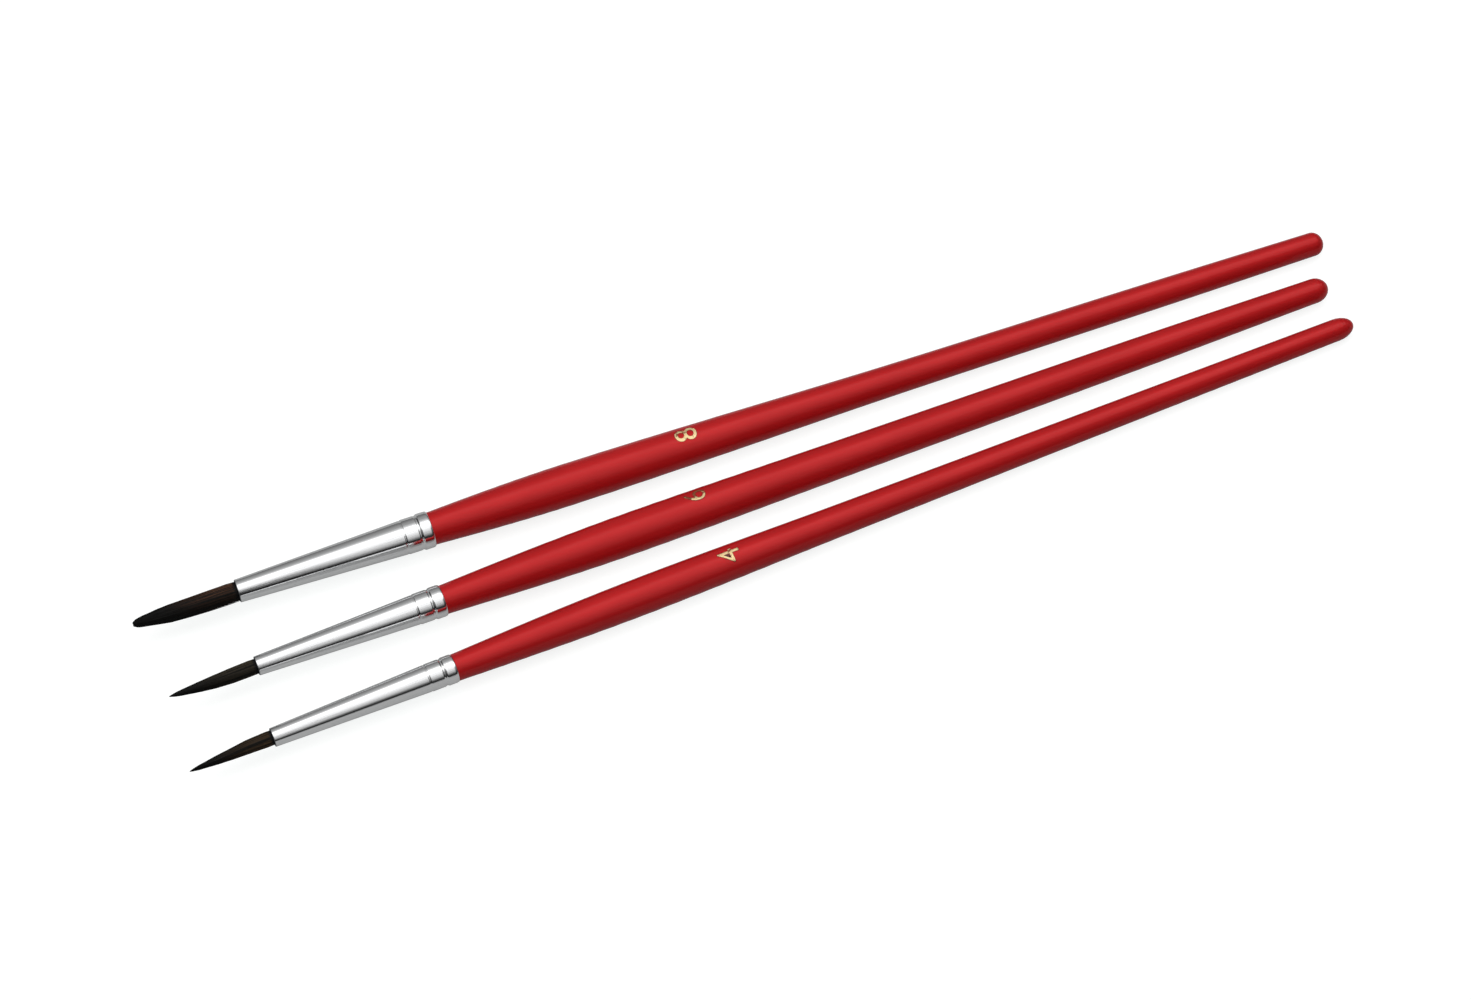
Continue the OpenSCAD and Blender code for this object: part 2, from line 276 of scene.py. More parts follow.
white = add(tree, "ShaderNodeEmission", {
    "Color": (0.985, 1.0, 0.995, 1), "Strength": white_share}).outputs[0]
both = add(tree, "ShaderNodeAddShader", {0: own, 1: white})
add(tree, "ShaderNodeOutputMaterial", {"Surface": both.outputs[0]})
paper.data.materials.append(material)
paper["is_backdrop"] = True

# %% [markdown]
# The tent is a long half tube of cloth over the table, lit from outside
# above. Its cloth is brightest in a long strip overhead, which gives the
# lacquer its narrow sheen. Toward both walls only a short patch is lit, so
# the undersides of the handles stay dark, and low down on the lens side the
# cloth is nearly black. A polished ferrule shows that as a white band with
# a thin dark line under it. The lens looks in through a slit in the cloth.
# Near its mouth a ferrule mirrors that dark slit as a wedge beside the line.

# %% Light tent
tent_radius, tent_length, tent_sides = 0.9, 6.0, 96
above_paper = 0.5 * mm
bpy.ops.mesh.primitive_cylinder_add(
    vertices=tent_sides, radius=tent_radius, depth=tent_length,
    rotation=(0, math.pi / 2, 0))
tent = bpy.context.object
tent.name = "light_tent"
bpy.ops.object.transform_apply()
enter_edit()
bpy.ops.mesh.bisect(plane_co=(0, 0, above_paper), plane_no=(0, 0, 1),
                    clear_inner=True)
bpy.ops.mesh.select_all(action="SELECT")
bpy.ops.mesh.flip_normals()
leave_edit()

# %% Light of the tent's cloth
cloth_light = (  # degrees up from the lens side, light
    (0, 0.36), (3, 0.16), (7, 0.03), (17, 0.03), (24, 0.19), (33, 0.47),
    (46, 0.78), (58, 1.02), (70, 1.27), (82, 1.4), (95, 1.7), (106, 1.85),
    (114, 1.3), (122, 0.72), (134, 0.44), (154, 0.3), (180, 0.15))
cloth_reach = (  # degrees up from the lens side, metres lit each way
    (0, 0.2), (58, 0.2), (70, 0.4), (80, 0.6), (92, 0.85), (114, 0.85),
    (125, 0.6), (145, 0.4), (180, 0.3))
dim_at, dim_light = 2.2, 0.2  # in lit lengths from the middle, light there
slit = (-0.24, -0.05)  # metres along the tent
slit_edge = 0.06  # metres over which the cloth closes
slit_top = (math.radians(41), math.radians(68))  # closing, closed
slit_light = 0.15  # light left in it
material, tree = start_material("tent_cloth")
place = add(tree, "ShaderNodeTexCoord").outputs["Object"]
split = add(tree, "ShaderNodeSeparateXYZ", {0: place}).outputs
toward_lens = maths(tree, "MULTIPLY", split["Y"], -1)
height = maths(tree, "ARCTAN2", split["Z"], toward_lens)
cloth, lit_length = (
    ramp(tree, maths(tree, "DIVIDE", height, math.pi), *(
        (degrees / 180, grey(value)) for degrees, value in table))
    for table in (cloth_light, cloth_reach))
toward_end = maths(tree, "DIVIDE", maths(
    tree, "ABSOLUTE", split["X"]), lit_length)
share = spread(tree, toward_end, 1, dim_at, 1, dim_light)
beside_slit = maths(
    tree, "MAXIMUM",
    spread(tree, split["X"], slit[1] - slit_edge, slit[1], 0, 1),
    spread(tree, split["X"], slit[0], slit[0] + slit_edge, 1, 0))
over_slit = spread(tree, height, *slit_top, 0, 1)
cloth_left = maths(tree, "MULTIPLY_ADD", maths(
    tree, "MAXIMUM", beside_slit, over_slit), 1 - slit_light, slit_light)
share = maths(tree, "MULTIPLY", share, cloth_left)
glow = add(tree, "ShaderNodeEmission", {"Color": cloth, "Strength": share})
add(tree, "ShaderNodeOutputMaterial", {"Surface": glow.outputs[0]})
tent.data.materials.append(material)
tent.visible_camera = False
tent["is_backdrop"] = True

# %% [markdown]
# Past the paper and the tent lies a white room. To the lens, to metal and to
# glass it is pure white, and as plain light it is weaker.

# %% White room round the tent
room_light = 0.4
world = bpy.data.worlds.new("white_room")
scene.world = world
world.use_nodes = True
tree = world.node_tree
tree.nodes.clear()
ray = add(tree, "ShaderNodeLightPath").outputs
sees_white = maths(tree, "MAXIMUM", ray["Is Camera Ray"], maths(
    tree, "MAXIMUM", ray["Is Glossy Ray"], ray["Is Transmission Ray"]))
strength = spread(tree, sees_white, 0, 1, room_light, 1)
room = add(tree, "ShaderNodeBackground", {
    "Color": grey(1), "Strength": strength})
add(tree, "ShaderNodeOutputWorld", {"Surface": room.outputs[0]})

# %% [markdown]
# The handles come from the solids as they are: the lathe work is already in
# them. A brush handle is turned in hardwood and dipped in red lacquer up to
# the ferrule, so the tenon inside the ferrule is bare wood with a ragged
# edge of lacquer. The red coat is faintly pearly, so its colour darkens
# where it turns away from the light, and a clear coat over it is glossy with
# a faint orange peel and long polishing marks. Base and coat of one shader
# do for the two layers.

# %% Red lacquer over turned wood
lacquer_rag = 2 * mm  # how unevenly the lacquer ends under the ferrule
lacquer_edge = 0.2 * mm  # how softly


def make_lacquer(size):
    """Lacquered wood for one handle."""
    material, tree = start_material(f"red_lacquer_{size}")
    place = brush_place(tree, size)
    pooling = noise(tree, place, (70, 260, 260), detail=2)
    red = ramp(tree, pooling, (0.3, (0.585, 0.013, 0.015)),
               (0.7, (0.63, 0.016, 0.018)))
    pores = noise(tree, place, (160, 2600, 2600), detail=4, roughness=0.6)
    wood = ramp(tree, pores, (0.35, (0.42, 0.26, 0.13)),
                (0.65, (0.60, 0.42, 0.24)))
    rim = reach(f"ferrule_{size}", size)[1]
    ragged = noise(tree, place, (900, 900, 900))
    along = add(tree, "ShaderNodeSeparateXYZ", {0: place}).outputs["X"]
    edge = maths(tree, "SUBTRACT", along, maths(
        tree, "MULTIPLY", ragged, lacquer_rag))
    starts = rim - lacquer_rag
    coated = spread(tree, edge, starts - lacquer_edge, starts, 0, 1)
    polish = noise(tree, place, (110, 900, 900), detail=4)
    satin = spread(tree, polish, 0.25, 0.75, 0.52, 0.6)
    rough = add(tree, "ShaderNodeMix", {0: coated, 2: 0.62, 3: satin})
    peel = noise(tree, place, (450, 800, 800), detail=2)
    marks = noise(tree, place, (60, 5200, 5200), detail=2)
    bumps = maths(tree, "MULTIPLY_ADD", marks, 0.12, peel)
    surface(tree, {
        "Base Color": blend(tree, coated, wood, red),
        "Metallic": maths(tree, "MULTIPLY", coated, 0.42),
        "Roughness": rough.outputs[0], "IOR": 1.45,
        "Specular IOR Level": 0.05, "Specular Tint": (1, 0.6, 0.75, 1),
        "Coat Weight": coated, "Coat Roughness": 0.1, "Coat IOR": 1.25,
        "Coat Normal": relief(tree, bumps, 0.02 * mm, 0.35)})
    return material


for size in sizes:
    nodes[f"handle_{size}"].data.materials[0] = make_lacquer(size)

# %% [markdown]
# The ferrules also come from the solids. A seamless ferrule is drawn from
# aluminium and polished, so it is nearly a mirror with faint marks that run
# the way it was drawn, and a few of them are deeper hairlines. The marks
# must follow the cone, so the pattern reads the direction away from the
# centre line and not the plain place. The cut edge at the mouth is out of
# the polishing mop's reach and stays dull, and its colour is painted nearly
# black there as a painted shade where the hair goes in.

# %% Polished aluminium
# the dull edge at the mouth also carries painted shade: its colour goes nearly black
dull_shaded_mouth = (0.04 * mm, 0.14 * mm)  # from the mouth, where the dull edge ends


def make_metal(size):
    """Drawn and polished aluminium for one ferrule, with painted shade at its mouth."""
    material, tree = start_material(f"ferrule_metal_{size}")
    place = brush_place(tree, size)
    split = add(tree, "ShaderNodeSeparateXYZ", {0: place}).outputs
    outward = add(tree, "ShaderNodeVectorMath", {0: add(
        tree, "ShaderNodeCombineXYZ", {1: split["Y"], 2: split["Z"]},
    ).outputs[0]}, operation="NORMALIZE").outputs[0]
    turned = add(tree, "ShaderNodeSeparateXYZ", {0: outward}).outputs
    drawn = add(tree, "ShaderNodeCombineXYZ", {
        0: split["X"], 1: turned["Y"], 2: turned["Z"]}).outputs[0]
    draw_marks = noise(tree, drawn, (35, 60, 60), detail=5, roughness=0.65)
    cloud = noise(tree, place, (300, 500, 500), detail=2)
    metal = ramp(tree, draw_marks, (0.3, (0.74, 0.745, 0.75)),
                 (0.6, (0.81, 0.815, 0.82)))
    lines = noise(tree, drawn, (28, 17, 17), detail=2, roughness=0.6)
    hairline = spread(tree, maths(tree, "ABSOLUTE", maths(
        tree, "SUBTRACT", lines, 0.5)), 0.004, 0.02, 1, 0)
    worn = maths(tree, "MULTIPLY", hairline, 0.4)
    metal = blend(tree, worn, metal, (0.42, 0.43, 0.45))
    shine = maths(tree, "ADD", spread(tree, draw_marks, 0.3, 0.8, 0.04, 0.08),
                  spread(tree, cloud, 0.35, 0.75, 0.0, 0.04))
    waves = noise(tree, place, (500, 700, 700), detail=1)
    height = maths(tree, "MULTIPLY_ADD", draw_marks, 0.5, waves)
    height = maths(tree, "MULTIPLY_ADD", hairline, -0.35, height)
    mouth = reach(f"ferrule_{size}", size)[0]
    cut = spread(tree, split["X"], mouth + dull_shaded_mouth[0], mouth + dull_shaded_mouth[1],
                 1, 0)
    rough = add(tree, "ShaderNodeMix", {0: cut, 2: shine, 3: 0.45})
    surface(tree, {
        # painted shade: the metal's colour is nearly black at the mouth, where the hair
        # goes in
        "Base Color": blend(tree, cut, metal, (0.07, 0.075, 0.085)),
        "Metallic": 1.0, "Roughness": rough.outputs[0],
        "Normal": relief(tree, height, 0.01 * mm, 0.3)})
    return material


for size in sizes:
    nodes[f"ferrule_{size}"].data.materials[0] = make_metal(size)

# %% [markdown]
# Inside each ferrule the hair is tied with a few turns of cotton thread and
# its root is set in amber resin. Nobody sees them on a finished brush, but
# they are real pieces, so they get their real finish: twisted cotton and
# clear hard resin.

# %% Cotton thread and resin
ply_twist = 9000  # radians of the plies' wave along a metre of the brush
ply_slant = 40  # radians of it for each radian round the root


def make_thread(size):
    """Twisted cotton: slanting plies on thin turns."""
    material, tree = start_material(f"thread_{size}")
    place = brush_place(tree, size)
    split = add(tree, "ShaderNodeSeparateXYZ", {0: place}).outputs
    angle = maths(tree, "ARCTAN2", split["Z"], split["Y"])
    twist = maths(tree, "MULTIPLY_ADD", split["X"], ply_twist, maths(
        tree, "MULTIPLY", angle, ply_slant))
    plies = maths(tree, "SINE", twist)
    fuzz = noise(tree, place, (6000, 6000, 6000))
    cotton = ramp(tree, maths(tree, "MULTIPLY_ADD", plies, 0.2, fuzz),
                  (0.3, (0.50, 0.43, 0.31)), (0.7, (0.74, 0.67, 0.52)))
    surface(tree, {"Base Color": cotton, "Roughness": 0.85,
                   "Normal": relief(tree, plies, 0.03 * mm, 0.6)})
    return material


def make_resin(size):
    """Amber resin with a few cloudy spots."""
    material, tree = start_material(f"resin_{size}")
    place = brush_place(tree, size)
    cloud = noise(tree, place, (700, 700, 700))
    amber = ramp(tree, cloud, (0.3, (0.42, 0.22, 0.05)),
                 (0.7, (0.60, 0.38, 0.12)))
    surface(tree, {"Base Color": amber, "Roughness": spread(
        tree, cloud, 0.3, 0.7, 0.12, 0.3), "IOR": 1.52,
        "Normal": relief(tree, cloud, 0.02 * mm, 0.4)})
    return material


for size in sizes:
    nodes[f"thread_tie_{size}"].data.materials[0] = make_thread(size)
    nodes[f"glue_plug_{size}"].data.materials[0] = make_resin(size)

# %% [markdown]
# The tuft is hundreds of fine hairs that leave the ferrule side by side and
# draw together to the tip. The solid only gives its bulk. A shape with a
# painted grain would look moulded, so each tuft is made of real strands:
# one hair is modelled once, copied, and each copy is laid along its own
# path. The outline from tip to ferrule is set by a few widths, because each
# tuft is cut differently: no. 8 is full and blunt, 6 and 4 are pointed. The
# tufts also sag and bend a little, each in its own way.

# %% Outline and set of each tuft
tuft_width = {  # way from tip to ferrule, share of the width at the ferrule
    8: ((0, 0.22), (0.02, 0.35), (0.06, 0.48), (0.14, 0.60), (0.25, 0.75),
        (0.40, 0.89), (0.56, 0.94), (0.80, 0.97), (1, 1)),
    6: ((0, 0.07), (0.06, 0.24), (0.20, 0.47), (0.35, 0.66), (0.50, 0.83),
        (0.65, 0.93), (0.85, 1.0), (1, 1)),
    4: ((0, 0.06), (0.05, 0.21), (0.20, 0.43), (0.35, 0.62), (0.50, 0.76),
        (0.65, 0.88), (0.78, 1.0), (1, 1))}
tuft_cut = {8: 0.08, 6: 0.16, 4: 0.16}  # way by which outer hairs are shorter
tuft_sag = {  # way from tip to ferrule, millimetres down to the lens's eye
    8: ((0, -0.03), (0.1, -0.03), (0.4, 0.08), (1, 0)),
    6: ((0, -0.06), (0.25, 0.05), (0.5, 0.11), (1, 0)),
    4: ((0, 0.29), (0.45, 0.13), (0.8, -0.03), (1, 0))}
swell = {8: 1.06, 6: 1.04, 4: 1.0}  # width at the ferrule against the solid
pinch_length = 0.7 * mm  # over which the mouth pinches the tuft
pinch_shift = 0.8  # share of that length which lies outside the mouth
pinched_share = 0.95  # of the bore that the hairs fill


def soft_curve(points, at):
    """A smooth curve through a few (place, value) points."""
    places, values = np.array(points, float).T
    slopes = np.gradient(values, places)
    at = np.clip(at, places[0], places[-1])
    step = np.clip(np.searchsorted(places, at) - 1, 0, len(places) - 2)
    gap = places[step + 1] - places[step]
    t = (at - places[step]) / gap
    return (values[step] * (1 + 2 * t) * (1 - t) ** 2
            + slopes[step] * gap * t * (1 - t) ** 2
            + values[step + 1] * t * t * (3 - 2 * t)
            + slopes[step + 1] * gap * t * t * (t - 1))


class Tuft:
    """Measures of one tuft on its brush's own line.

    down is square to the line and points down as the lens sees it.
    """

    def __init__(self, size):
        self.size = size
        self.tip = reach(f"hair_tuft_{size}", size)[0]
        self.mouth = reach(f"ferrule_{size}", size)[0]
        back = line[size].inverted()
        at = [back @ v.co for v in nodes[f"hair_tuft_{size}"].data.vertices]
        outside = [p.yz.length for p in at
                   if abs(p.x - self.mouth) < 0.15 * mm]
        self.bore = max(outside)
        self.width = self.bore * swell[size]
        down = line[size].to_3x3().col[0].cross(to_camera).normalized()
        down = (back.to_3x3() @ down).yz
        self.down = np.array(down)

    def way(self, x):
        """0 at the tip and 1 at the ferrule's mouth."""
        return (x - self.tip) / (self.mouth - self.tip)

    def radius(self, x):
        """Radius of the outline, a little pinched by the mouth."""
        free = self.width * soft_curve(tuft_width[self.size], self.way(x))
        pinched = np.clip(
            (x - self.mouth) / pinch_length + pinch_shift, 0, 1)
        return free * (1 - pinched) + self.bore * pinched_share * pinched

    def middle(self, x):
        """Where the middle of the tuft lies, as y and z."""
        sag = soft_curve(tuft_sag[self.size], self.way(x)) * mm
        return sag[..., None] * self.down


tufts = {size: Tuft(size) for size in sizes}
for size, tuft in tufts.items():
    print(f"tuft {size}: {tuft.mouth - tuft.tip:.4f} m out of the ferrule, "
          f"{2 * tuft.width / mm:.2f} mm wide there")

# %% [markdown]
# One hair starts as a small ring of five corners. It is extruded step by
# step and narrowed toward its end. Hair keeps its thickness for most of its
# length and only then draws to a fine natural tip.

# %% One hair
hair_corners, hair_radius = 5, 0.05 * mm
hair_steps = (  # share of the length, share of the thickness
    (0.18, 1.0), (0.38, 1.0), (0.56, 0.98), (0.71, 0.94), (0.82, 0.88),
    (0.91, 0.76), (0.97, 0.55), (1.0, 0.15))

bpy.ops.object.select_all(action="DESELECT")
bpy.ops.mesh.primitive_circle_add(
    vertices=hair_corners, radius=hair_radius, fill_type="NGON",
    rotation=(0, math.pi / 2, 0))
one_hair = bpy.context.object
one_hair.name = "one_hair"
bpy.ops.object.transform_apply()
enter_edit()
last_length, last_width = 0, 1
for length, width in hair_steps:
    bpy.ops.mesh.extrude_region_move(
        TRANSFORM_OT_translate={"value": (length - last_length, 0, 0)})
    narrow = width / last_width
    bpy.ops.transform.resize(value=(1, narrow, narrow))
    last_length, last_width = length, width
bpy.ops.mesh.select_all(action="SELECT")
bpy.ops.mesh.normals_make_consistent(inside=False)
leave_edit()
bpy.ops.object.shade_smooth()
print("one hair:", len(one_hair.data.polygons), "faces")

# %% [markdown]
# Each copy gets a root inside the ferrule, a share of the way out to the
# skin of the tuft, and an end. The inner hairs reach the tip and the outer
# ones end a little earlier, which is what makes a fine point. Hairs gather
# in loose locks, so the surface shows soft grooves, and a tone is kept for
# each hair, since no two hairs have quite the same brown. That tone also
# carries painted shade: hairs on the tuft's lower side, as the lens sees it,
# are made darker, most of all in no. 8.

# %% Lay the hairs
hair_count = {8: 620, 6: 480, 4: 460}
lock_count = {8: 96, 6: 72, 4: 72}
# painted shade on the tuft's lower side, as the lens sees it
side_shade_share = {8: 0.6, 6: 0.2, 4: 0.2}  # share of the tone lost on that side
side_blend, side_middle = 0.6, 0.58  # its edge in radii, share lost midway
hair_start = 1.6 * mm  # inside the ferrule, on average
few_short, outer_short = 2.2, 3  # powers: the higher, the fewer end early
innermost = 0.30  # square of the innermost way out to the skin
lock_spread = 0.16  # radians that hairs stray from the middle of their lock
hair_spread = 0.10  # radians that a hair strays on its way to the tip
hair_wave, wave_run = 0.035, 4  # radians round the tuft, run of the wave
hair_waist, waist_run = 0.02, 6 * math.pi  # share of the way out, its run
depth_error = 0.012  # by which a hair lies too far out or in
any_phase = 6.3  # radians, a full turn
thinnest = 0.42  # share of its thickness that a hair keeps at the tip
tone_of_lock = 0.7  # and the rest is its own
unit_hair = np.array([v.co for v in one_hair.data.vertices])


def lay_hair(tuft, draw, lock_turn, lock_tone):
    """Corners, tone with painted shade, and way out from the ferrule of one hair."""
    depth = math.sqrt(draw.uniform(innermost, 1.0))
    lock = draw.integers(len(lock_turn))
    turn = lock_turn[lock] + draw.normal(0, lock_spread)
    start = tuft.mouth + hair_start * draw.uniform(0.8, 1.2)
    short = draw.uniform(0, 1) ** few_short * depth ** outer_short
    end = tuft.tip + short * tuft_cut[tuft.size] * (tuft.mouth - tuft.tip)
    x = start + unit_hair[:, 0] * (end - start)
    way = np.clip(tuft.way(x), 0, 1)
    reach_out = depth * (1 + draw.normal(0, depth_error))
    gather = 1 - hair_waist * np.cos(
        waist_run * way + draw.uniform(0, any_phase))
    strand = hair_radius * draw.uniform(0.7, 1.1)
    slim = thinnest + (1 - thinnest) * soft_curve(
        tuft_width[tuft.size], way)
    skin = np.maximum(tuft.radius(x) - strand * slim, 0.01 * mm)
    out = reach_out * skin * gather
    wander = turn + draw.normal(0, hair_spread) * (1 - way) + (
        hair_wave * np.sin(wave_run * way + draw.uniform(0, any_phase)))
    radial = np.stack((np.cos(wander), np.sin(wander)), -1)
    beside = np.stack((-np.sin(wander), np.cos(wander)), -1)
    local = unit_hair[:, 1:] / hair_radius * strand * slim[:, None]
    middle = tuft.middle(x) + out[:, None] * radial
    yz = middle + local[:, :1] * radial + local[:, 1:] * beside
    tone_and_shade = (tone_of_lock * lock_tone[lock]
            + (1 - tone_of_lock) * draw.uniform())
    # painted shade: hairs turned toward the lower side, as the lens sees it, lose part of
    # their tone
    turned_down = np.array((math.cos(turn), math.sin(turn))) @ tuft.down
    side_shaded = np.clip(turned_down / side_blend + side_middle, 0, 1)
    tone_and_shade *= 1 - side_shade_share[tuft.size] * side_shaded
    return np.column_stack((x, yz)), tone_and_shade, 1 - tuft.way(x)


def make_tuft(tuft):
    """All hairs of one tuft as one piece."""
    draw = np.random.default_rng(tuft.size)
    lock_turn = draw.uniform(0, 2 * math.pi, lock_count[tuft.size])
    lock_tone = draw.uniform(0, 1, len(lock_turn))
    hairs = []
    for _ in range(hair_count[tuft.size]):
        hair = one_hair.copy()
        hair.data = one_hair.data.copy()
        scene.collection.objects.link(hair)
        points, tone_and_shade, way_out = lay_hair(tuft, draw, lock_turn, lock_tone)
        hair.data.vertices.foreach_set("co", points.ravel())
        for name, values in (("tone_and_shade", np.full(len(points), tone_and_shade)),
                             ("way_out", way_out)):
            kept = hair.data.attributes.new(name, "FLOAT", "POINT")
            kept.data.foreach_set("value", values)
        hairs.append(hair)
    bpy.ops.object.select_all(action="DESELECT")
    for hair in hairs:
        hair.select_set(True)
    bpy.context.view_layer.objects.active = hairs[0]
    bpy.ops.object.join()
    piece = hairs[0]
    piece.name = piece.data.name = f"hair_{tuft.size}"
    enter_edit()
    bpy.ops.mesh.normals_make_consistent(inside=False)
    leave_edit()
    return piece


strands = {size: make_tuft(tuft) for size, tuft in tufts.items()}
bpy.data.objects.remove(one_hair)
for size, piece in strands.items():
    piece.data.transform(line[size])
    print(piece.name, len(piece.data.polygons), "faces")

# %% [markdown]
# Between the strands the eye must meet more hair and not the other side, so
# a dark body fills the tuft; its near-black colour is painted shade. It is a
# copy of the solid with its loose triangles merged. Inside the ferrule it
# keeps its full width, with the waist where the thread pulls it in, and
# outside it shrinks under the hairs.

# %% Body under the hairs
body_ends, body_closes = 0.03, 0.14  # ways from the tip
body_share = 0.86  # of the tuft's radius
body_frees, body_full = 0.95, 1.05  # ways where it slims and is full


def make_body(tuft):
    """The dense middle of a tuft."""
    solid = nodes[f"hair_tuft_{tuft.size}"]
    piece = bpy.data.objects.new(f"hair_body_{tuft.size}", solid.data.copy())
    scene.collection.objects.link(piece)
    bpy.ops.object.select_all(action="DESELECT")
    piece.select_set(True)
    bpy.context.view_layer.objects.active = piece
    bpy.ops.mesh.customdata_custom_splitnormals_clear()
    enter_edit()
    bpy.ops.mesh.remove_doubles(threshold=0.0005 * mm)
    leave_edit()
    piece.data.transform(line[tuft.size].inverted())
    points = np.array([v.co for v in piece.data.vertices])
    way = tuft.way(points[:, 0])
    own = np.maximum(np.linalg.norm(points[:, 1:], axis=1), 0.001 * mm)
    under = body_share * tuft.radius(points[:, 0]) * np.sqrt(
        np.clip(way / body_closes, 0, 1))
    free = np.clip((body_full - way) / (body_full - body_frees), 0, 1)
    points[:, 1:] *= (1 + free * (under / own - 1))[:, None]
    points[:, 1:] += tuft.middle(points[:, 0]) * free[:, None]
    points[:, 0] += body_ends * np.clip(1 - way / body_closes, 0, 1) * (
        tuft.mouth - tuft.tip)
    piece.data.vertices.foreach_set("co", points.ravel())
    piece.data.transform(line[tuft.size])
    return piece


bodies = {size: make_body(tuft) for size, tuft in tufts.items()}

# %% [markdown]
# Dark natural hair is never one colour. Near the ferrule some hairs are a
# warm brown, and all of them run to nearly black at the tip. The stored
# tone, with its painted shade, picks the brown and the stored way out
# darkens it. At the mouth the hairs are painted nearly black in a thin ring,
# a painted shade where they go into the ferrule. The shine is low and soft,
# because each strand already catches its own thin highlight. A packed tuft
# shades as one rounded bundle, so each strand's own facing is leant toward
# the outside of the tuft.

# %% Hair finish
hair_browns = {  # at the ferrule: darkest hairs, lightest hairs
    8: ((0.004, 0.003, 0.002), (0.105, 0.048, 0.027)),
    6: ((0.003, 0.003, 0.002), (0.052, 0.041, 0.026)),
    4: ((0.006, 0.004, 0.002), (0.105, 0.064, 0.033))}
tip_black, mouth_shade_black = (0.0024, 0.0023, 0.0019), (0.004, 0.004, 0.005)
bundle_share = 0.6  # how far a strand's facing leans to the bundle's


def bundle_normal(tree, size, place):
    """Strand normals leant toward the outside of the whole tuft."""
    across = add(tree, "ShaderNodeVectorMath", {0: place, 1: (0, 1, 1)},
                 operation="MULTIPLY").outputs[0]
    outward = add(tree, "ShaderNodeMapping", {
        "Vector": across, "Rotation": line[size].to_euler("XYZ")},
        vector_type="NORMAL").outputs[0]
    strand = add(tree, "ShaderNodeNewGeometry").outputs["Normal"]
    leant = add(tree, "ShaderNodeMix", {
        0: bundle_share, 4: strand, 5: outward},
        data_type="VECTOR").outputs[1]
    return add(tree, "ShaderNodeVectorMath", {0: leant},
               operation="NORMALIZE").outputs[0]


def make_hair_finish(size):
    """Brown streaks at the ferrule, near black at the tip."""
    material, tree = start_material(f"dark_hair_{size}")
    tone_and_shade = add(tree, "ShaderNodeAttribute",
               attribute_name="tone_and_shade").outputs["Fac"]
    way_out = add(tree, "ShaderNodeAttribute",
                  attribute_name="way_out").outputs["Fac"]
    place = brush_place(tree, size)
    streak = noise(tree, place, (120, 2200, 2200), detail=2)
    dark, light = hair_browns[size]
    picked = maths(tree, "MULTIPLY_ADD", streak, 0.4, maths(
        tree, "MULTIPLY", tone_and_shade, 0.9))
    root_colour = ramp(tree, picked, (0.42, dark), (0.92, light))
    fade = maths(tree, "MULTIPLY_ADD", streak, 0.3, way_out)
    colour = blend(tree, spread(tree, fade, 0.22, 0.92, 0, 1),
                   root_colour, tip_black)
    # painted shade: a near-black ring on the hairs just outside the ferrule's mouth
    mouth_shade = spread(tree, way_out, 0.01, 0.045, 1, 0)
    colour = blend(tree, mouth_shade, colour, mouth_shade_black)
    surface(tree, {"Base Color": colour, "Roughness": spread(
        tree, streak, 0.3, 0.7, 0.36, 0.5), "Specular IOR Level": 0.12,
        "Normal": bundle_normal(tree, size, place)})
    return material


def make_body_finish(size):
    """The deep shade between the hairs."""
    material, tree = start_material(f"hair_shade_{size}")
    grain = noise(tree, brush_place(tree, size), (120, 4000, 4000))
    colour = ramp(tree, grain, (0.3, (0.004, 0.0035, 0.003)),
                  (0.7, (0.014, 0.010, 0.007)))
    surface(tree, {"Base Color": colour, "Roughness": 0.7,
                   "Normal": relief(tree, grain, 0.04 * mm, 0.8)})
    return material


for size in sizes:
    for piece, finish in ((strands[size], make_hair_finish(size)),
                          (bodies[size], make_body_finish(size))):
        piece.data.materials.clear()
        piece.data.materials.append(finish)
        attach(piece, f"brush_{size}")
    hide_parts(f"hair_tuft_{size}")

# %% [markdown]
# The size is stamped on each handle in pale gold foil, with the digit's top
# toward the hair. Round each numeral runs a narrow dark brown edge, so each
# numeral is two thin pieces: the dark edge and the foil on it. Both start as
# text. The flat mesh is cut into small cells, because a large flat face
# cannot follow the round handle, and is then given its thickness and wrapped.

# %% Numerals
numeral_place = {  # millimetres from the tip, degrees up from the lens line
    8: (87.2, 35), 6: (82.9, 44), 4: (84.8, 23)}
numeral_height = 3.4 * mm
numeral_width = {8: 2.25 * mm, 6: 2.15 * mm, 4: 2.3 * mm}
digit_height = 0.72  # of a digit in the font, against the font's size
cell = 0.16 * mm
cell_cuts = 14  # on each side of the middle
stroke_spread = {8: 0, 6: -0.05 * mm, 4: -0.01 * mm}
edge_spread = 0.05 * mm
edge_lift, foil_lift = 0.002 * mm, 0.008 * mm
foil_thickness = 0.012 * mm
ring_step = 0.002 * mm  # corners this close along the handle share a ring


def handle_radius(size, x):
    """The turned radius at a place along the brush."""
    back = line[size].inverted()
    at = [back @ v.co for v in nodes[f"handle_{size}"].data.vertices]
    turned = {}
    for point in at:
        ring = round(point.x / ring_step)
        turned[ring] = max(turned.get(ring, 0), point.yz.length)
    rings = sorted(turned)
    return np.interp(x, [ring * ring_step for ring in rings],
                     [turned[ring] for ring in rings])


